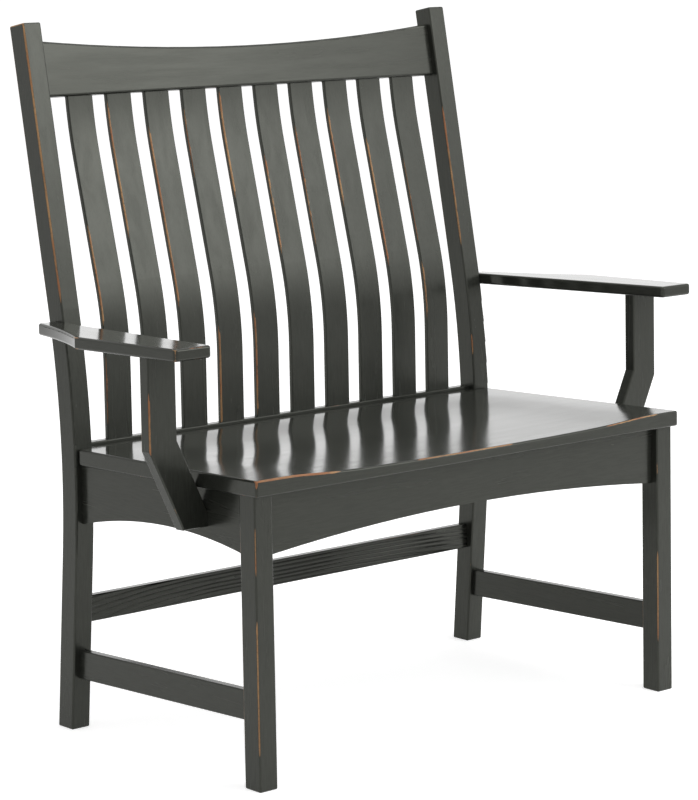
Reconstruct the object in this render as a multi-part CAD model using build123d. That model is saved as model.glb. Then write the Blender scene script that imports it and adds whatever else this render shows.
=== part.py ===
from build123d import *
from math import atan2, cos, degrees, radians, sin, sqrt, tan
import os

# Mission settle: two raked back posts and two front legs, a dished seat board, ten bent back
# slats between a hollow-topped crest rail and a low seat rail, and two arms on cranked supports.
# Millimetres and degrees. It is drawn square to its seat, X across and Y from front to back, with
# zero at the front legs' front faces on the floor, then tipped back and its feet cut level.

# Whole frame
frame_width = 909.0        # over the outer faces of the legs and posts
seat_rake = 2.5            # seat, arms and aprons fall towards the back
seat_height = 466.0        # floor to the seat's rim
leg_side = 35.0            # front legs are square, and the posts are as wide
leg_ease = 3.0             # rounding of the long edges of legs and posts
foot_chamfer = 1.5
overrun = 20.0             # how far a cutting tool runs past what it cuts
joint_gap = 0.1            # glue line round a tenon, slat, dowel or screw

# Back posts: splayed foot, one long bend at seat height, raked upper run
post_depth = 36.0
post_setback = 418.5       # front legs' front faces to the posts' foremost point
post_bend_height = 416.5   # height of that foremost point
post_bend_radius = 1500.0  # of the hollow rear face
post_splay = 4.5
back_rake = 10.0
post_height = 1122.0       # to the front edge of the square-cut top
post_top_ease = 2.5

# Crest rail, measured along the raked posts
post_ear = 27.5            # post standing above the crest's ends
crest_end_height = 88.5
crest_mid_height = 67.0
crest_thickness = 19.0
crest_inset = 11.0         # crest face behind the posts' front faces
crest_ease = 4.0

# Seat rail behind the seat, which also carries the slats
back_rail_rise = 5.5       # its top above the seat's rim
back_rail_thickness = 18.0
back_rail_inset = 15.0     # its face behind the posts' foremost point

# Back slats
slat_count = 10
slat_width = 50.0
slat_margin = 44.9         # clear space between each post and the slat next to it
slat_thickness = 8.0
slat_inset = 3.0           # slat face behind the seat rail's face
slat_straight = 114.0      # upright run above the seat's rim
slat_top_lean = 5.7        # lean where the slat enters the crest
# Each bend from its end to the corner it rounds, as a share of the height from the upright run to the crest
slat_low_bend_share = 0.162
slat_high_bend_share = 0.112
slat_seat = 14.0           # depth of the slat in crest and rail
slat_ease = 1.8

# Seat board and the hollow in it
seat_thickness = 25.0
seat_lip = 10.5            # overhang past the front legs
seat_side_lip = 5.0        # overhang past the legs' outer faces at the front
seat_back_inset = 5.5      # inside the posts' outer faces at the back
seat_gap = 0.3             # clearance at the posts and the seat rail
seat_ease = 3.0
seat_corner_radius = 4.0
dish_depth = 10.5
dish_margin = 74.5         # flat rim beside the hollow, at the front
# Place as a share of half the hollow's width, or of the seat's length from its front edge, and
# there the share of the full depth
dish_across_shares = ((0.0, 1.0), (0.3, 0.96), (0.55, 0.85), (0.78, 0.58),
                      (0.92, 0.22), (1.02, 0.02), (1.1, 0.0))
dish_along_shares = ((0.0, 0.8), (0.22, 0.88), (0.45, 0.97), (0.65, 1.0),
                     (0.77, 0.76), (0.86, 0.38), (0.94, 0.08), (1.0, 0.0))
dish_fit = 0.001           # how closely the surface follows those places

# Aprons and stretchers
rail_ease = 2.0
apron_thickness = 19.0
apron_depth = 93.0         # at the legs, below the seat board
arch_rise = 22.5           # of each apron's lower edge
apron_inset = 12.0         # aprons and side stretchers behind the legs' outer faces
stretcher_thickness = 15.0
side_stretcher_height = 45.5
side_stretcher_level = 100.5
rear_stretcher_height = 42.0
rear_stretcher_level = 186.0
rear_stretcher_inset = 13.0

# Tenons
tenon_length = 16.0
tenon_cheek = 4.0          # shoulder at each face of the rail
tenon_edge = 8.0           # shoulder at its upper and lower edges

# Arms
arm_height = 663.0         # top face
arm_thickness = 18.5
arm_setback = 47.0         # front end behind the legs' front faces
arm_overhang = 103.5       # outer edge outside the legs' outer faces
arm_flare = 34.5           # front end's inner corner outside the legs' outer faces
arm_straight = 232.0       # outer edge from the front end to the bend
arm_hollow = 6.0           # depth of the long hollow from the bend to the rear end
arm_tail_width = 31.0      # rear end outside the post
arm_tail_setback = 10.0    # rear end in front of the post's rear face
arm_corner_radius = 6.0
arm_bend_radius = 3.0
arm_ease = 4.0

# Arm supports: upright above, cranked in to the side apron below
support_inset = 8.5        # outer edge inside the arm's
support_width = 52.5
support_thickness = 20.0
support_setback = 120.0
support_bend = 51.0        # inner corner of the crank above the seat's rim
support_drop = 85.0        # lower end below the seat's rim
support_heel = 25.7        # height over which it lies against the side apron
support_ease = 2.5
support_tenon = 12.0

# Corner blocks, dowels and screws
block_reach = 70.0         # along each apron from their corner
block_height = 38.0
front_relief = 18.0        # corner of the block cut off to clear the leg
rear_relief = 30.0         # corner of the block cut off to clear the post
block_screw_seat = 14.0    # wood of the block under the heads of its apron screws
block_screw_place = 48.0   # apron screws from the corner
seat_screw_place = 28.0    # seat screws from both aprons
dowel_diameter = 8.0
dowel_length = 32.0
dowel_spacing = 12.0
screw_diameter = 4.0
screw_head_diameter = 8.0
screw_head_height = 2.4
block_screw_length = 28.0
seat_screw_length = 50.0
support_screw_length = 42.0
support_screw_rise = 7.0   # lower screw above the support's end
support_screw_spacing = 12.0

# Worked out from the sizes above
half_frame = frame_width / 2
inner_face = half_frame - leg_side
apron_face = half_frame - apron_inset
apron_back = apron_face - apron_thickness
seat_underside = seat_height - seat_thickness
apron_level = seat_underside - apron_depth
back_rail_front = post_setback + back_rail_inset
back_rail_top = seat_height + back_rail_rise
front_radius = post_bend_radius + post_depth
bend_centre = post_setback + front_radius


def span(x0, x1, y0, y1, z0, z1, gap=0.0):
    size = (x1 - x0 + 2 * gap, y1 - y0 + 2 * gap, z1 - z0 + 2 * gap)
    return Pos(x0 - gap, y0 - gap, z0 - gap) * Box(*size, align=(Align.MIN, Align.MIN, Align.MIN))


def both_sides(shape):
    return shape + mirror(shape, about=Plane.YZ)


def long_edges_eased(solid, axis, radius):
    return fillet(solid.edges().filter_by(axis), radius)


def rim_eased(solid, axis, radius, keep=lambda edge: True):
    # Rounds the outline of the two faces that look along this axis
    faces = solid.faces().filter_by(axis).sort_by(axis)
    edges = [edge for face in (faces[0], faces[-1]) for edge in face.edges() if keep(edge)]
    return fillet(edges, radius)


def post_point(radius, lean):
    # On the bend, at this radius from its centre, where the post leans back by this angle
    return bend_centre - radius * cos(radians(lean)), post_bend_height + radius * sin(radians(lean))


def post_front(height):
    # How far back the post's front face is at this height, up to the end of the bend
    low_y, low_z = post_point(front_radius, -post_splay)
    if height < low_z:
        return low_y + (low_z - height) * tan(radians(post_splay))
    return bend_centre - sqrt(front_radius ** 2 - (height - post_bend_height) ** 2)


rake_start = post_point(front_radius, back_rake)
upper_run = (post_height - rake_start[1]) / cos(radians(back_rake))
# Along the raked run: Y is square to it, Z runs up it from the end of the bend
on_rake = Pos(0, *rake_start) * Rot(X=-back_rake)
crest_level = upper_run - post_ear - crest_end_height


def post_outline(radius):
    low, mid, high = (post_point(radius, lean) for lean in (-post_splay, 0.0, back_rake))
    drop = post_point(front_radius, -post_splay)[1] + overrun
    foot = (low[0] + drop * tan(radians(post_splay)), low[1] - drop)
    top = (high[0] + upper_run * sin(radians(back_rake)), high[1] + upper_run * cos(radians(back_rake)))
    return foot, low, mid, high, top


def post_blank():
    foot, low, mid, high, top = post_outline(front_radius)
    rear_foot, rear_low, rear_mid, rear_high, rear_top = post_outline(post_bend_radius)
    front = [Line(foot, low), ThreePointArc(low, mid, high), Line(high, top)]
    rear = [Line(rear_foot, rear_low), ThreePointArc(rear_low, rear_mid, rear_high),
            Line(rear_high, rear_top)]
    profile = Plane.YZ * make_face([*front, Line(top, rear_top), *rear, Line(rear_foot, foot)])
    post = Pos(inner_face, 0, 0) * extrude(profile, leg_side, dir=(1, 0, 0))
    return rim_eased(post, Axis.X, leg_ease)


def leg_blank():
    section = RectangleRounded(leg_side, leg_side, leg_ease)
    return Pos(half_frame - leg_side / 2, leg_side / 2, -overrun) * extrude(section, seat_underside + overrun)


def arch(low, high):
    # The hollow under an apron between two legs, drawn with X along the apron
    floor = apron_level - overrun
    crown = ((low + high) / 2, apron_level + arch_rise)
    curve = ThreePointArc((low, apron_level), crown, (high, apron_level))
    sides = Polyline((high, apron_level), (high, floor), (low, floor), (low, apron_level))
    return make_face(curve.edges() + sides.edges())


# Tenons, as the boxes that the rails carry and that the mortises follow
def side_tenon(face, thickness, level, height, start, end):
    return (face - thickness + tenon_cheek, face - tenon_cheek, start, end,
            level + tenon_edge, level + height - tenon_edge)


def cross_tenon(front, thickness, level, height):
    return (inner_face - tenon_cheek, inner_face + tenon_length,
            front + tenon_cheek, front + thickness - tenon_cheek,
            level + tenon_edge, level + height - tenon_edge)


def side_tenons(face, thickness, level, height):
    post_face = post_front(level + height / 2)
    at_leg = side_tenon(face, thickness, level, height, leg_side - tenon_length, leg_side + tenon_cheek)
    at_post = side_tenon(face, thickness, level, height, post_face - tenon_cheek, post_face + tenon_length)
    return at_leg, at_post


side_apron_tenons = side_tenons(apron_face, apron_thickness, apron_level, apron_depth)
side_stretcher_tenons = side_tenons(apron_face, stretcher_thickness, side_stretcher_level,
                                    side_stretcher_height)
front_apron_tenon = cross_tenon(apron_inset, apron_thickness, apron_level, apron_depth)
back_rail_tenon = cross_tenon(back_rail_front, back_rail_thickness, apron_level, back_rail_top - apron_level)
rear_stretcher_front = post_front(rear_stretcher_level + rear_stretcher_height / 2) + rear_stretcher_inset
rear_stretcher_tenon = cross_tenon(rear_stretcher_front, stretcher_thickness, rear_stretcher_level,
                                   rear_stretcher_height)
crest_tenon = cross_tenon(crest_inset, crest_thickness, crest_level, crest_end_height)


def leg_half(corner):
    # The leg on one side of its diagonal, where only one of the two apron tenons may lie
    outline = Polyline((inner_face, leg_side), (half_frame, 0), corner, (inner_face, leg_side))
    return Pos(0, 0, apron_level) * extrude(make_face(outline), apron_depth)


# Screws and dowels. With a gap they are the holes for them, and a head's hole runs on outwards
block_level = seat_underside - block_height
support_level = seat_height - support_drop
support_middle = support_setback + support_thickness / 2
arm_underside = arm_height - arm_thickness
arm_mid = arm_height - arm_thickness / 2
arm_meets_post = post_front(arm_mid)
arm_tail_end = arm_meets_post + post_depth - arm_tail_setback


def screw(length, gap, access):
    shank = Cylinder(screw_diameter / 2 + gap, length + gap, align=(Align.CENTER, Align.CENTER, Align.MAX))
    head_size = (screw_head_diameter / 2 + gap, screw_head_height + access)
    return shank + Cylinder(*head_size, align=(Align.CENTER, Align.CENTER, Align.MIN))


def at_corners(shape):
    # From a corner between two apron faces to the front and rear corners at the right
    front = Pos(apron_back, apron_inset + apron_thickness, 0) * shape
    rear = Pos(apron_back, back_rail_front, 0) * mirror(shape, about=Plane.XZ)
    return [front, rear]


def block_screws(gap=0.0, access=0.0):
    one = screw(block_screw_length, gap, access)
    middle = block_level + block_height / 2
    into_cross_rail = Pos(-block_screw_place, block_screw_seat, middle) * Rot(X=-90) * one
    into_side_apron = Pos(-block_screw_seat, block_screw_place, middle) * Rot(Y=-90) * one
    return at_corners(into_cross_rail) + at_corners(into_side_apron)


def seat_screws(gap=0.0, access=0.0):
    one = Rot(X=180) * screw(seat_screw_length, gap, access)
    return at_corners(Pos(-seat_screw_place, seat_screw_place, block_level + screw_head_height) * one)


def support_screws(gap=0.0, access=0.0):
    one = Rot(Y=-90) * screw(support_screw_length, gap, access)
    low = support_level + support_screw_rise
    levels = (low, low + support_screw_spacing)
    return [Pos(apron_back + screw_head_height, support_middle, level) * one for level in levels]


def arm_dowels(gap=0.0):
    one = Rot(Y=90) * Cylinder(dowel_diameter / 2 + gap, dowel_length + 2 * gap)
    middle = (arm_meets_post + arm_tail_end) / 2
    places = (middle - dowel_spacing / 2, middle + dowel_spacing / 2)
    return [Pos(half_frame, place, arm_mid) * one for place in places]


def both(shapes):
    return shapes + [mirror(shape, about=Plane.YZ) for shape in shapes]


screw_holes = both([*block_screws(joint_gap, overrun), *seat_screws(joint_gap, overrun),
                    *support_screws(joint_gap, overrun)])


def corner_block(relief):
    outline = Polyline((-block_reach, 0), (-relief, 0), (0, relief), (0, block_reach), (-block_reach, 0))
    return Pos(0, 0, block_level) * extrude(make_face(outline), block_height)


def corner_blocks():
    front = at_corners(corner_block(front_relief))[0]
    rear = at_corners(corner_block(rear_relief))[1]
    return front - screw_holes, rear - screw_holes


# Legs and posts with their mortises
def back_post():
    mortises = [span(*side_apron_tenons[1], joint_gap), span(*side_stretcher_tenons[1], joint_gap),
                span(*back_rail_tenon, joint_gap), span(*rear_stretcher_tenon, joint_gap),
                on_rake * span(*crest_tenon, joint_gap)]
    post = post_blank()
    post = fillet(post.faces().sort_by(Axis.Z)[-1].edges(), post_top_ease)
    return post - mortises - arm_dowels(joint_gap)


def front_leg():
    return leg_blank() - [span(*tenon, joint_gap) for tenon in
                          (front_apron_tenon, side_apron_tenons[0], side_stretcher_tenons[0])]


# Aprons, stretchers and the seat rail
def side_rail(thickness, level, height):
    run = (leg_side, bend_centre - post_bend_radius)
    rail = span(apron_face - thickness, apron_face, *run, level, level + height)
    return long_edges_eased(rail, Axis.Y, rail_ease) - post_blank()


def side_stretcher():
    rail = side_rail(stretcher_thickness, side_stretcher_level, side_stretcher_height)
    return rail + [span(*tenon) for tenon in side_stretcher_tenons]


def side_apron():
    hollow = Plane.YZ * arch(leg_side, post_front(apron_level))
    under = Pos(apron_back, 0, 0) * extrude(hollow, apron_thickness)
    at_leg, at_post = (span(*tenon) for tenon in side_apron_tenons)
    at_leg -= leg_half((inner_face, 0))
    return side_rail(apron_thickness, apron_level, apron_depth) - under + at_leg + at_post - screw_holes


def cross_rail(front, thickness, level, height, tenon):
    rail = span(-inner_face, inner_face, front, front + thickness, level, level + height)
    return long_edges_eased(rail, Axis.X, rail_ease) + both_sides(tenon)


def front_apron():
    under = Pos(0, apron_inset, 0) * extrude(Plane.XZ * arch(-inner_face, inner_face), -apron_thickness)
    tenon = span(*front_apron_tenon) - leg_half((half_frame, leg_side))
    return cross_rail(apron_inset, apron_thickness, apron_level, apron_depth, tenon) - under - screw_holes


def rear_stretcher():
    return cross_rail(rear_stretcher_front, stretcher_thickness, rear_stretcher_level, rear_stretcher_height,
                      span(*rear_stretcher_tenon))


# Slats: bands of constant section, upright at the seat, bent back, then bent up into the crest
slat_foot = (back_rail_front + slat_inset, back_rail_top - slat_seat)
crest_middle = (on_rake * Pos(0, crest_inset + crest_thickness / 2, crest_level)).position
slat_low_start = Vector(0, slat_foot[0], seat_height + slat_straight)
slat_mouth = Vector(0, crest_middle.Y - slat_thickness / 2, crest_middle.Z)
slat_rise = slat_mouth.Z - slat_low_start.Z


def slat_normal(lean):
    # Square to the slat where it leans back by this angle, towards its rear
    return Vector(0, cos(radians(lean)), -sin(radians(lean)))


def slat_side(depth, extra):
    # One long side of the profile, this far behind the front face, longer at both ends by the extra
    low_bend, high_bend = slat_low_bend_share * slat_rise, slat_high_bend_share * slat_rise
    upwards = Vector(0, sin(radians(slat_top_lean)), cos(radians(slat_top_lean)))
    between = slat_mouth - upwards * high_bend - slat_low_start - Vector(0, 0, low_bend)
    lean = degrees(atan2(between.Y, between.Z))
    low_radius = low_bend / tan(radians(lean) / 2)
    high_radius = high_bend / tan(radians(lean - slat_top_lean) / 2)
    low_centre = slat_low_start + slat_normal(0) * low_radius
    high_centre = slat_mouth - slat_normal(slat_top_lean) * high_radius
    sides = [low_centre - slat_normal(turn) * (low_radius - depth) for turn in (0, lean / 2, lean)]
    for turn in (lean, (lean + slat_top_lean) / 2, slat_top_lean):
        sides.append(high_centre + slat_normal(turn) * (high_radius + depth))
    foot = Vector(0, slat_foot[0] + depth, slat_foot[1] - extra)
    tip = sides[5] + upwards * (slat_seat + extra)
    return [Line(foot, sides[0]), ThreePointArc(*sides[:3]), Line(sides[2], sides[3]),
            ThreePointArc(*sides[3:]), Line(sides[5], tip)]


def slat(gap=0.0):
    front, rear = slat_side(-gap, gap), slat_side(slat_thickness + gap, gap)
    outline = make_face([*front, *rear, Line(front[0] @ 0, rear[0] @ 0), Line(front[-1] @ 1, rear[-1] @ 1)])
    width = slat_width + 2 * gap
    band = Pos(-width / 2, 0, 0) * extrude(outline, width, dir=(1, 0, 0))
    if gap:
        return band
    low, high = (front[0] @ 0).Z + slat_ease, (front[-1] @ 1).Z - slat_ease
    return rim_eased(band, Axis.X, slat_ease, lambda edge: low < edge.center().Z < high)


def in_row(one):
    first = slat_margin + slat_width / 2 - inner_face
    pitch = -2 * first / (slat_count - 1)
    return [Pos(first + number * pitch, 0, 0) * one for number in range(slat_count)]


slat_sockets = in_row(slat(joint_gap))


def crest_rail():
    ends = [(side * inner_face, crest_level + crest_end_height) for side in (-1, 1)]
    top = ThreePointArc(ends[0], (0, crest_level + crest_mid_height), ends[1])
    under = Polyline(ends[1], (inner_face, crest_level), (-inner_face, crest_level), ends[0])
    profile = Plane.XZ * make_face(top.edges() + under.edges())
    crest = Pos(0, crest_inset, 0) * extrude(profile, -crest_thickness)
    crest = rim_eased(crest, Axis.Y, crest_ease, lambda edge: abs(edge.center().X) < inner_face / 2)
    return on_rake * (crest + both_sides(span(*crest_tenon))) - slat_sockets


def back_rail():
    rail = cross_rail(back_rail_front, back_rail_thickness, apron_level, back_rail_top - apron_level,
                      span(*back_rail_tenon))
    return rail - slat_sockets - screw_holes


# Seat board
seat_front = (half_frame + seat_side_lip, -seat_lip)
seat_corner = (half_frame - seat_back_inset, post_setback - seat_gap)
seat_notch = (inner_face - seat_gap, post_setback - seat_gap)
seat_rear = (inner_face - seat_gap, back_rail_front - seat_gap)


def dish_tool():
    # Everything above the hollowed top of the seat
    length = seat_rear[1] - seat_front[1]
    right = [(share * (seat_front[0] - dish_margin), depth) for share, depth in dish_across_shares]
    right.append((seat_front[0] + overrun, dish_across_shares[-1][1]))
    across = [(-place, depth) for place, depth in reversed(right[1:])] + right
    along = [(seat_front[1] - overrun, dish_along_shares[0][1])]
    along += [(seat_front[1] + share * length, depth) for share, depth in dish_along_shares]
    along.append((seat_rear[1] + overrun, dish_along_shares[-1][1]))
    points = [[(x, y, seat_height - dish_depth * wide * deep) for y, deep in along] for x, wide in across]
    surface = Face.make_surface_from_array_of_points(points, tol=dish_fit)
    return extrude(surface, dish_depth + 2 * overrun, dir=(0, 0, 1))


def seat():
    right = [seat_front, seat_corner, seat_notch, seat_rear]
    left = [(-x, y) for x, y in reversed(right)]
    outline = make_face(Polyline(*right, *left, close=True))
    board = Pos(0, 0, seat_underside) * extrude(outline, seat_thickness + overrun)
    corners = board.edges().filter_by(Axis.Z).filter_by(lambda edge: abs(edge.center().X) > inner_face)
    board = fillet(corners, seat_corner_radius) - dish_tool()
    by_height = board.faces().sort_by(Axis.Z)
    board = fillet([*by_height[0].edges(), *by_height[-1].edges()], seat_ease)
    return board - screw_holes


# Arms and their supports
support_outer = half_frame + arm_overhang - support_inset
support_inner = support_outer - support_width
support_tenon_box = (support_inner + tenon_edge, support_outer - tenon_edge,
                     support_setback + tenon_cheek, support_setback + support_thickness - tenon_cheek,
                     arm_underside - tenon_cheek, arm_underside + support_tenon)


def arm():
    outer = half_frame + arm_overhang
    bend = Vector(outer, arm_setback + arm_straight)
    tail = Vector(half_frame + arm_tail_width, arm_tail_end)
    along = (tail - bend).normalized()
    hollow = (bend + tail) / 2 + Vector(-along.Y, along.X) * arm_hollow
    front = (half_frame + arm_flare, arm_setback)
    before = Polyline(front, (outer, arm_setback), bend)
    after = Polyline(tail, (half_frame, arm_tail_end), (half_frame, arm_meets_post), front)
    outline = make_face(before.edges() + ThreePointArc(bend, hollow, tail).edges() + after.edges())
    by_place = outline.vertices().group_by(Axis.Y)
    outline = fillet([*by_place[0], by_place[-1].sort_by(Axis.X)[-1]], arm_corner_radius)
    outermost = outline.vertices().group_by(Axis.X)[-1]
    outline = fillet(outermost.sort_by(Axis.Y)[-1], arm_bend_radius)
    board = rim_eased(Pos(0, 0, arm_underside) * extrude(outline, arm_thickness), Axis.Z, arm_ease)
    return board - span(*support_tenon_box, joint_gap) - arm_dowels(joint_gap)


def arm_support():
    inner_bend = seat_height + support_bend
    heel = support_level + support_heel
    crank = atan2(support_inner - apron_face, inner_bend - heel)
    outer_bend = inner_bend - support_width * tan(crank / 2)
    toe = support_outer - (outer_bend - support_level) * tan(crank)
    outline = Polyline((support_outer, arm_underside), (support_outer, outer_bend), (toe, support_level),
                       (apron_face, support_level), (apron_face, heel), (support_inner, inner_bend),
                       (support_inner, arm_underside), close=True)
    board = Pos(0, support_setback, 0) * extrude(Plane.XZ * make_face(outline), -support_thickness)
    board = rim_eased(board, Axis.Y, support_ease, lambda edge: edge.center().X > apron_face + support_ease
                      and edge.center().Z < arm_underside - support_ease)
    return board + span(*support_tenon_box) - screw_holes


# Everything is tipped back and the feet are cut level
def tipped(shape):
    return Rot(X=-seat_rake) * shape


def footed(shape):
    standing = split(tipped(shape), bisect_by=Plane.XY, keep=Keep.TOP)
    return chamfer(standing.faces().sort_by(Axis.Z)[0].edges(), foot_chamfer)


standing_leg = footed(front_leg())
standing_post = footed(back_post())
front_limit = standing_leg.bounding_box().min.Y
rear_limit = standing_post.bounding_box().max.Y


def save(name, shape):
    # The origin moves to the middle of the whole depth
    export_step(Pos(0, -(front_limit + rear_limit) / 2, 0) * shape, f"parts/{name}.step")


def save_pair(name, shape):
    save(f"{name}_right", shape)
    save(f"{name}_left", mirror(shape, about=Plane.YZ))


os.makedirs("parts", exist_ok=True)
front_block, rear_block = corner_blocks()
save_pair("front_leg", standing_leg)
save_pair("back_post", standing_post)
for name, shape in (("side_apron", side_apron()), ("side_stretcher", side_stretcher()), ("arm", arm()),
                    ("arm_support", arm_support()), ("corner_block_front", front_block),
                    ("corner_block_rear", rear_block)):
    save_pair(name, tipped(shape))
for name, shape in (("crest_rail", crest_rail()), ("rear_seat_rail", back_rail()), ("seat", seat()),
                    ("front_apron", front_apron()), ("rear_stretcher", rear_stretcher())):
    save(name, tipped(shape))
for number, shape in enumerate(in_row(slat()), 1):
    save(f"back_slat_{number:02d}", tipped(shape))
for name, shapes in (("arm_dowels", arm_dowels()), ("seat_screws", seat_screws()),
                     ("corner_block_screws", block_screws()), ("arm_support_screws", support_screws())):
    save(name, Compound(children=[tipped(shape) for shape in both(shapes)]))
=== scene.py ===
import bpy
import numpy as np
from math import radians
from mathutils import Matrix, Vector


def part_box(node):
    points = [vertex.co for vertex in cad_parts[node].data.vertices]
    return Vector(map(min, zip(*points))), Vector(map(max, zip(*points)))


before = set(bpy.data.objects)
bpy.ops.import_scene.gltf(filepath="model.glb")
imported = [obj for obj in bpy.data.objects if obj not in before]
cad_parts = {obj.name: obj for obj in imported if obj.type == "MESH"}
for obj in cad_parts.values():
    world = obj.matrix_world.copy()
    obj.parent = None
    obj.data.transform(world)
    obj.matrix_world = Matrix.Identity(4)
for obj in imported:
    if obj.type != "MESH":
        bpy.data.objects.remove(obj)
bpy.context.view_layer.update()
scene = bpy.context.scene
scene.view_settings.view_transform = "Standard"

# Camera, fitted to the settle's edges in the photograph. Lengths are in metres, the lens in mm.
camera_place = (-3.496475, -3.736986, 1.398852)
camera_yaw, camera_pitch, camera_roll = radians(42.9907), radians(-9.0269), radians(0.7191)
camera_lens, camera_sensor = 145.71, 36.0
camera_shift = (0.0032, -0.0705)
camera_range = 80.0

# Studio. A strength of 1 is white.
world_light, world_seen = 0.45, 1.0       # on the object; in the picture and in reflections
floor_half = 40.0
floor_color = (0.8, 0.8, 0.8, 1)
floor_roughness = 0.9
floor_glow = 0.68                         # added in the picture and in reflections
softboxes = (
    dict(name="softbox_front", place=(2.8, -4.0, 3.5), target=(2.8, 0, 3.5), size=(5.8, 4.8), strength=4.6),
    dict(name="softbox_back", place=(3.4, 3.6, 1.2), target=(0, 0, 0.6), size=(7.0, 2.6), strength=0.5),
    dict(name="softbox_left", place=(-3.8, 1.0, 2.6), target=(0, 0, 0.5), size=(2.4, 2.0), strength=1.2),
    dict(name="softbox_top", place=(0.3, -0.4, 3.3), target=(0.3, -0.4, 0), size=(3.0, 2.6), strength=4.0),
)
softbox_core_share = 0.25                 # of the half width, at full strength
white = (1, 1, 1, 1)

# Colours of the paint, the wood under it, the hidden steel and the dowels
paint_colors = (0.021, 0.0222, 0.0188, 1), (0.028, 0.0296, 0.0252, 1)
pore_color, pore_strength = (0.010, 0.011, 0.009, 1), 0.4
wood_colors = (0.42, 0.235, 0.105, 1), (0.27, 0.135, 0.06, 1)
reddish_color = (0.31, 0.12, 0.05, 1)
# The grooves between the rear stretcher's rings are painted darker: painted shade, for the lesser sheen in
# the grooves
groove_shade_color, groove_shade_strength = (0.004, 0.004, 0.004, 1), 0.9
steel_colors = (0.42, 0.42, 0.41, 1), (0.56, 0.56, 0.55, 1)
dowel_colors = (0.42, 0.25, 0.12, 1), (0.58, 0.38, 0.20, 1)

# Gloss: roughness, and how strongly the grain shows as relief in the paint
paint_ior = 1.42
paint_sheen_tint = (0.97, 1.0, 0.88, 1)
satin = dict(roughness=(0.2, 0.28), relief=0.16)
polished = dict(roughness=(0.12, 0.15), relief=0.035)
polished_pieces = ("seat", "arm_left", "arm_right")
worn_roughness = 0.55
steel_roughness = (0.3, 0.45)
dowel_roughness = (0.55, 0.7)
# Towards its front edge, where people sit, the seat is duller: between two distances behind the edge
seat_dulling, seat_dull_from, seat_dull_full = 0.05, 0.242, 0.012

# Scales of the patterns, in cells per metre
pore_scale, figure_scale, reddish_scale, broad_scale = 420.0, 60.0, 14.0, 6.0
patch_scale, chip_scale, speck_scale = 9.0, 160.0, 260.0
steel_scale, dowel_scale = 900.0, 500.0

# Values between which a noise turns from one look to another. Most of a noise lies within the first.
noise_span = (0.3, 0.7)
pore_span, reddish_span = (0.35, 0.62), (0.45, 0.65)
patch_span, speck_span = (0.55, 0.75), (0.3, 0.5)

# Places are squeezed along the grain, which draws the patterns out. The grain's axis goes by the start of
# a piece's name, and is upright in all others.
grain_squeeze, chip_squeeze, dowel_squeeze = 0.07, 0.25, 0.08
grain_along = {"crest": "x", "rear": "x", "seat": "x", "front_apron": "x", "side": "y", "arm_left": "y",
               "arm_right": "y"}
piece_step = 3.7                          # shift of the patterns from piece to piece
shift_shares = (1.0, 1.7, 0.6)

# Relief of the grain: its unit in metres, and the heights of its layers in that unit
grain_relief, dowel_relief = 0.0004, 0.0003
pore_height, figure_height, broad_height, worn_height = 0.5, 0.6, 8.0, -0.8
dowel_relief_strength = 0.2

# Rings of the rear stretcher: level over a stretch of its length, and arching down beyond both ends of it
ring_stretch = (-0.13, 0.05)
ring_falls = (0.14, 0.07)                 # left and right
ring_middle_height = 0.15                 # below the board
ring_scale, ring_raggedness = 46.0, 2.5
# Wave values over which the grooves' painted shade sets in
groove_shade_span = (0.4, 0.1)
ring_relief, ring_relief_strength = 0.0011, 0.8

# Wear shows where the sum of edge, noise and the strength of a worn place passes a level
wear_level, wear_softness = 1.55, 0.16
edge_weight, noise_weight, strip_weight = 0.9, 0.7, 0.6
edge_span = (0.05, 0.3)                   # no wear below, and all of it above
forward_span = (-0.3, -0.7)               # y of the normals of faces that count as front faces
patch_strength = 0.45                     # between the worn places
speck_strength = 0.4                      # of paint left in the wood
end_fade_share, end_fade_most = 0.3, 0.03  # of a range's length, and in metres


def worn_strip(inner, *runs, outer=-0.002):
    """A strip of the front face along its left edge, with runs of (lowest, highest, strength)."""
    return [({"left": (outer, inner), "floor": (low, high)}, strength) for low, high, strength in runs]


# Where the paint is worn through: ranges in metres from sides of the piece's box, and how strongly
seat_rim = {"front": (-0.0177, 0.0123), "top": (-0.0159, 0.0141)}
worn_places = {
    "back_post_left": worn_strip(0.0035, (0.66, 1.15, 0.9)),
    "back_post_right": worn_strip(0.0035, (0.68, 0.945, 0.8), (0.50, 0.55, 0.7), outer=-0.0015),
    "front_leg_left": worn_strip(0.0025, (0.31, 0.41, 0.7), (0.04, 0.27, 0.85), outer=-0.0015),
    "front_leg_right": worn_strip(0.0025, (0.07, 0.25, 0.75), outer=-0.0005),
    "arm_support_left": worn_strip(0.0035, (0.47, 0.60, 0.85), outer=-0.001),
    "arm_left": [({"left": (-0.012, 0.013), "front": (0.216, 0.256)}, 0.5),
                 ({"left": (-0.012, 0.009), "front": (-0.014, 0.016)}, 0.4)],
    "seat": [({"left": (-0.0206, 0.1794), **seat_rim}, 1.05),
             ({"left": (0.3094, 0.5494), **seat_rim}, 1.0),
             ({"left": (0.7294, 0.8894), **seat_rim}, 0.75),
             ({"left": (-0.0206, 0.0044), "front": (-0.0177, 0.0073)}, 0.95)],
}
# Runs of the slats from the left: lowest, highest, strength
slat_runs = (
    ((0.615, 0.80, 0.85), (0.455, 0.60, 0.65)),
    ((0.745, 0.985, 0.85),),
    ((0.63, 0.94, 0.9),),
    ((0.825, 0.97, 0.65), (0.43, 0.62, 1.0)),
    ((0.795, 0.99, 1.05), (0.44, 0.64, 0.8)),
    ((0.695, 0.885, 0.8),),
    ((0.70, 0.93, 0.7),),
    ((0.76, 0.95, 0.8),),
    ((0.66, 0.90, 0.85),),
    ((0.56, 0.69, 0.8), (0.69, 0.86, 0.6)),
)
for number, runs in enumerate(slat_runs, 1):
    worn_places[f"back_slat_{number:02d}"] = worn_strip(0.0043, *runs)


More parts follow.
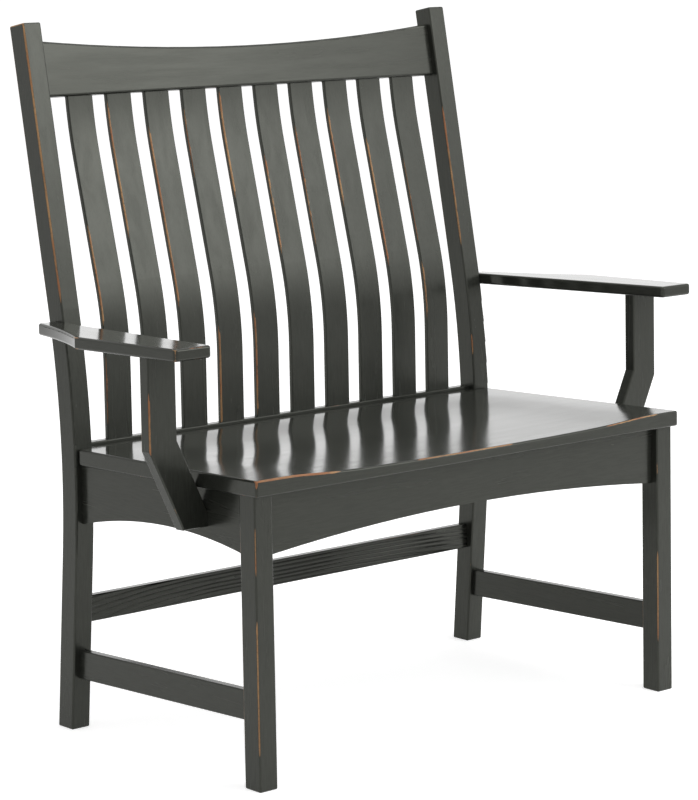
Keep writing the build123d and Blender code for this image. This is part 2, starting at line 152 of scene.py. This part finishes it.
class Nodes:
    """Adds nodes to a tree one by one; an input may be a value or another node's output."""

    def __init__(self, tree):
        self.tree = tree

    def node(self, kind, inputs=None, output=0, **settings):
        made = self.tree.nodes.new(kind)
        for key, value in settings.items():
            setattr(made, key, value)
        for key, value in (inputs or {}).items():
            self.put(made.inputs[key], value)
        return made.outputs[output]

    def put(self, socket, value):
        if isinstance(value, bpy.types.NodeSocket):
            self.tree.links.new(value, socket)
        else:
            socket.default_value = value

    def math(self, operation, *values):
        return self.node("ShaderNodeMath", dict(enumerate(values)), operation=operation)

    def mix(self, factor, first, second):
        # Inputs 6 and 7 and output 2 are this node's colours
        inputs = {0: factor, 6: first, 7: second}
        return self.node("ShaderNodeMix", inputs, 2, data_type="RGBA", clamp_factor=True)

    def smooth(self, value, low, high, out_low=0.0, out_high=1.0):
        inputs = {0: value, 1: low, 2: high, 3: out_low, 4: out_high}
        return self.node("ShaderNodeMapRange", inputs, interpolation_type="SMOOTHSTEP")

    def noise(self, vector, scale, detail=3.0, roughness=0.5, distortion=0.0):
        inputs = {"Vector": vector, "Scale": scale, "Detail": detail, "Roughness": roughness,
                  "Distortion": distortion}
        return self.node("ShaderNodeTexNoise", inputs)

    def place(self, scale=(1, 1, 1), offset=(0, 0, 0)):
        where = self.node("ShaderNodeNewGeometry")
        return self.node("ShaderNodeMapping", {"Vector": where, "Location": offset, "Scale": scale})

    def along(self, axis, vector=None):
        """The vector's coordinate on an axis, or the place's where no vector is given."""
        vector = vector or self.node("ShaderNodeNewGeometry")
        return self.node("ShaderNodeSeparateXYZ", {0: vector}, axis.upper())

    def bump(self, strength, distance, height, **inputs):
        inputs = {"Strength": strength, "Distance": distance, "Height": height, **inputs}
        return self.node("ShaderNodeBump", inputs)

    def seen_directly(self):
        """1 for what the camera, a reflection or a see-through surface shows, 0 for light on the object."""
        path = self.tree.nodes.new("ShaderNodeLightPath")
        seen = self.math("MAXIMUM", path.outputs["Is Camera Ray"], path.outputs["Is Glossy Ray"])
        return self.math("MAXIMUM", seen, path.outputs["Is Transmission Ray"])


def new_material(name):
    material = bpy.data.materials.new(name)
    material.use_nodes = True
    return material, Nodes(material.node_tree), material.node_tree.nodes["Principled BSDF"]


def squeezed(direction, squeeze):
    return [squeeze if axis == direction else 1.0 for axis in "xyz"]


def painted(name, direction, shift):
    """Painted wood with its grain along one axis, and the paint worn through on eased edges."""
    material, nodes, shader = new_material(f"paint_{name}")
    offset = [shift * share for share in shift_shares]
    along = nodes.place(squeezed(direction, grain_squeeze), offset)
    still = nodes.place(offset=offset)
    pores = nodes.noise(along, pore_scale, roughness=0.6)
    figure = nodes.noise(along, figure_scale, roughness=0.55, distortion=0.6)
    broad = nodes.noise(still, broad_scale, detail=2.0)
    paint = nodes.mix(broad, *paint_colors)
    paint = nodes.mix(nodes.smooth(pores, *pore_span), nodes.mix(pore_strength, paint, pore_color), paint)
    wood = nodes.mix(nodes.smooth(figure, *noise_span), *wood_colors)
    reddish = nodes.smooth(nodes.noise(still, reddish_scale, detail=2.0), *reddish_span)
    wood = nodes.mix(reddish, wood, reddish_color)
    worn = worn_through(nodes, name, squeezed(direction, chip_squeeze), offset)
    color = nodes.mix(worn, paint, wood)

    finish = polished if name in polished_pieces else satin
    rough = nodes.smooth(figure, *noise_span, *finish["roughness"])
    if name == "seat":
        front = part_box(name)[0].y
        dull_span = (front + seat_dull_from, front + seat_dull_full)
        rough = nodes.math("ADD", rough, nodes.smooth(nodes.along("y"), *dull_span, 0.0, seat_dulling))
    rough = nodes.math("MAXIMUM", rough, nodes.math("MULTIPLY", worn, worn_roughness))

    height = 0.0
    for layer, layer_height in ((pores, pore_height), (figure, figure_height), (broad, broad_height),
                                (worn, worn_height)):
        height = nodes.math("ADD", height, nodes.math("MULTIPLY", layer, layer_height))
    bump = nodes.bump(finish["relief"], grain_relief, height)
    if name == "rear_stretcher":
        rings = ring_waves(nodes)
        bump = nodes.bump(ring_relief_strength, ring_relief, rings, Normal=bump)
        # The grooves between the rings are painted darker, as painted shade standing in for the lesser sheen
        # in them
        color = nodes.mix(nodes.smooth(rings, *groove_shade_span, 0.0, groove_shade_strength), color, groove_shade_color)

    nodes.put(shader.inputs["Base Color"], color)
    nodes.put(shader.inputs["Roughness"], rough)
    nodes.put(shader.inputs["Normal"], bump)
    shader.inputs["IOR"].default_value = paint_ior
    shader.inputs["Specular Tint"].default_value = paint_sheen_tint
    return material


def worn_through(nodes, name, chip_squeezes, offset):
    """1 where bare wood shows, from the 'edge' attribute, noise and the piece's worn places."""
    still = nodes.place(offset=offset)
    ragged = nodes.noise(nodes.place(chip_squeezes, offset), chip_scale, detail=4.0, roughness=0.65)
    patches = nodes.noise(still, patch_scale, detail=2.0)
    strength = nodes.smooth(patches, *patch_span, 0.0, patch_strength)
    facing = nodes.along("y", nodes.node("ShaderNodeNewGeometry", output="True Normal"))
    forward = nodes.smooth(facing, *forward_span)
    edge = nodes.node("ShaderNodeAttribute", output="Fac", attribute_name="edge")
    for ranges, place_strength in worn_places.get(name, ()):
        inside = in_ranges(nodes, name, ranges)
        strength = nodes.math("MAXIMUM", strength, nodes.math("MULTIPLY", inside, place_strength))
        if "floor" in ranges:
            # A strip takes in the front face beside the edge
            strip = nodes.math("MULTIPLY", nodes.math("MULTIPLY", inside, forward), strip_weight)
            edge = nodes.math("MAXIMUM", edge, strip)
    reach = nodes.math("ADD", nodes.math("MULTIPLY", edge, edge_weight),
                       nodes.math("MULTIPLY", ragged, noise_weight))
    over = nodes.math("SUBTRACT", reach, nodes.math("SUBTRACT", wear_level, strength))
    worn = nodes.math("MULTIPLY", nodes.smooth(over, 0.0, wear_softness), nodes.smooth(edge, *edge_span))
    specks = nodes.noise(still, speck_scale, detail=2.0)
    return nodes.math("MULTIPLY", worn, nodes.smooth(specks, *speck_span, 1.0 - speck_strength, 1.0))


def in_ranges(nodes, name, ranges):
    """1 inside ranges that are measured from sides of the piece's box, fading to 0 at their ends."""
    lowest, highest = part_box(name)
    sides = {"left": ("x", lowest.x), "front": ("y", lowest.y), "top": ("z", highest.z), "floor": ("z", 0.0)}
    inside = 1.0
    for side, (low, high) in ranges.items():
        axis, start = sides[side]
        place = nodes.along(axis)
        fade = min((high - low) * end_fade_share, end_fade_most)
        inside = nodes.math("MULTIPLY", inside, nodes.smooth(place, start + low, start + low + fade))
        inside = nodes.math("MULTIPLY", inside, nodes.smooth(place, start + high, start + high - fade))
    return inside


def ring_waves(nodes):
    """Waves over the flat-sawn face of the rear stretcher, rings round a line below the board."""
    across = nodes.along("x")
    left = nodes.math("MINIMUM", nodes.math("SUBTRACT", across, ring_stretch[0]), 0.0)
    right = nodes.math("MAXIMUM", nodes.math("SUBTRACT", across, ring_stretch[1]), 0.0)
    sideways = nodes.math("ADD", nodes.math("MULTIPLY", left, ring_falls[0]),
                          nodes.math("MULTIPLY", right, ring_falls[1]))
    upwards = nodes.math("SUBTRACT", nodes.along("z"), ring_middle_height)
    place = nodes.node("ShaderNodeCombineXYZ", {"X": sideways, "Z": upwards})
    inputs = {"Vector": place, "Scale": ring_scale, "Distortion": ring_raggedness, "Detail": 2.0,
              "Detail Scale": 1.2}
    return nodes.node("ShaderNodeTexWave", inputs, "Fac", wave_type="RINGS", rings_direction="Y")


def steel():
    material, nodes, shader = new_material("screw_steel")
    speck = nodes.noise(nodes.place(), steel_scale)
    nodes.put(shader.inputs["Base Color"], nodes.mix(speck, *steel_colors))
    nodes.put(shader.inputs["Roughness"], nodes.smooth(speck, *noise_span, *steel_roughness))
    shader.inputs["Metallic"].default_value = 1.0
    return material


def bare_wood():
    material, nodes, shader = new_material("bare_wood")
    grain = nodes.noise(nodes.place(squeezed("x", dowel_squeeze)), dowel_scale)
    nodes.put(shader.inputs["Base Color"], nodes.mix(grain, *dowel_colors))
    nodes.put(shader.inputs["Roughness"], nodes.smooth(grain, *noise_span, *dowel_roughness))
    nodes.put(shader.inputs["Normal"], nodes.bump(dowel_relief_strength, dowel_relief, grain))
    return material


def mark_edges(node):
    """Gives each vertex 'edge': 0 on the broad faces, rising to 1 along the middle of a rounded edge."""
    flat_spread = 0.9                     # least cosine between a flat face's normals and their mean
    full_edge_turn = radians(40)          # from the nearest flat face's normal
    normal_digits = 2
    mesh = node.data
    count = len(mesh.vertices)
    corners = np.zeros(len(mesh.loops), np.int32)
    mesh.loops.foreach_get("vertex_index", corners)
    corner_normals = np.zeros(len(mesh.loops) * 3, np.float32)
    mesh.corner_normals.foreach_get("vector", corner_normals)
    normals = np.zeros((count, 3), np.float32)
    normals[corners] = corner_normals.reshape(-1, 3)
    triangles = corners.reshape(-1, 3)
    # The solid's faces are separate islands of the mesh. Each ends up with its lowest vertex as its label
    island = np.arange(count)
    while True:
        lowest = island[triangles].min(1)
        before = island.copy()
        for corner in range(3):
            np.minimum.at(island, triangles[:, corner], lowest)
        island = island[island]
        if (island == before).all():
            break
    flat, rounded = [], []
    for label in np.unique(island):
        members = np.flatnonzero(island == label)
        middle = normals[members].mean(0)
        middle /= max(np.linalg.norm(middle), 1e-9)
        if (normals[members] @ middle).min() > flat_spread:
            flat.append(normals[members])
        else:
            rounded.append(members)
    flat = np.unique(np.round(np.concatenate(flat), normal_digits), axis=0)
    edge = np.zeros(count, np.float32)
    for members in rounded:
        nearest = (normals[members] @ flat.T).max(1).clip(-1, 1)
        edge[members] = (np.arccos(nearest) / full_edge_turn).clip(0, 1)
    layer = mesh.attributes.new("edge", "FLOAT", "POINT")
    layer.data.foreach_set("value", edge)


def photo_camera():
    data = bpy.data.cameras.new("photo_camera")
    data.sensor_width = camera_sensor
    data.lens = camera_lens
    data.shift_x, data.shift_y = camera_shift
    data.clip_end = camera_range
    camera = bpy.data.objects.new("photo_camera", data)
    scene.collection.objects.link(camera)
    turn = (Matrix.Rotation(-camera_yaw, 4, "Z") @ Matrix.Rotation(radians(90) + camera_pitch, 4, "X")
            @ Matrix.Rotation(camera_roll, 4, "Z"))
    camera.matrix_world = Matrix.Translation(camera_place) @ turn
    scene.camera = camera


def studio():
    world = bpy.data.worlds.new("studio")
    scene.world = world
    world.use_nodes = True
    nodes = Nodes(world.node_tree)
    background = world.node_tree.nodes["Background"]
    strength = nodes.smooth(nodes.seen_directly(), 0.0, 1.0, world_light, world_seen)
    nodes.put(background.inputs["Strength"], strength)
    background.inputs["Color"].default_value = white

    floor = flat_sheet("studio_floor", floor_half, floor_half)
    material, nodes, shader = new_material("studio_floor")
    shader.inputs["Base Color"].default_value = floor_color
    shader.inputs["Roughness"].default_value = floor_roughness
    nodes.put(shader.inputs["Emission Strength"], nodes.math("MULTIPLY", nodes.seen_directly(), floor_glow))
    shader.inputs["Emission Color"].default_value = white
    floor.data.materials.append(material)
    for settings in softboxes:
        softbox(**settings)


def flat_sheet(name, half_width, half_height):
    mesh = bpy.data.meshes.new(name)
    signs = ((-1, -1), (1, -1), (1, 1), (-1, 1))
    mesh.from_pydata([(x * half_width, y * half_height, 0) for x, y in signs], [], [(0, 1, 2, 3)])
    sheet = bpy.data.objects.new(name, mesh)
    scene.collection.objects.link(sheet)
    return sheet


def softbox(name, place, target, size, strength):
    """A panel that adds light on the side of its target, fading from a core to the rim."""
    half_width, half_height = size[0] / 2, size[1] / 2
    panel = flat_sheet(name, half_width, half_height)
    panel.location = place
    panel.rotation_euler = (Vector(target) - Vector(place)).to_track_quat("Z", "Y").to_euler()
    panel.visible_camera = False
    material = bpy.data.materials.new(name)
    material.use_nodes = True
    tree = material.node_tree
    tree.nodes.clear()
    nodes = Nodes(tree)
    own_place = nodes.node("ShaderNodeTexCoord", output="Object")
    for axis, half in (("x", half_width), ("y", half_height)):
        off_middle = nodes.math("ABSOLUTE", nodes.along(axis, own_place))
        fade = nodes.smooth(off_middle, half, half * softbox_core_share)
        strength = nodes.math("MULTIPLY", fade, strength)
    front_side = nodes.math("SUBTRACT", 1.0, nodes.node("ShaderNodeNewGeometry", output="Backfacing"))
    strength = nodes.math("MULTIPLY", front_side, strength)
    light = nodes.node("ShaderNodeAddShader", {0: nodes.node("ShaderNodeEmission", {"Strength": strength}),
                                               1: nodes.node("ShaderNodeBsdfTransparent")})
    output = tree.nodes.new("ShaderNodeOutputMaterial")
    tree.links.new(light, output.inputs["Surface"])
    panel.data.materials.append(material)


photo_camera()
studio()
for number, (name, node) in enumerate(sorted(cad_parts.items())):
    if name.endswith("screws"):
        material = steel()
    elif name == "arm_dowels":
        material = bare_wood()
    else:
        mark_edges(node)
        direction = next((axis for start, axis in grain_along.items() if name.startswith(start)), "z")
        material = painted(name, direction, piece_step * number)
    node.data.materials.clear()
    node.data.materials.append(material)
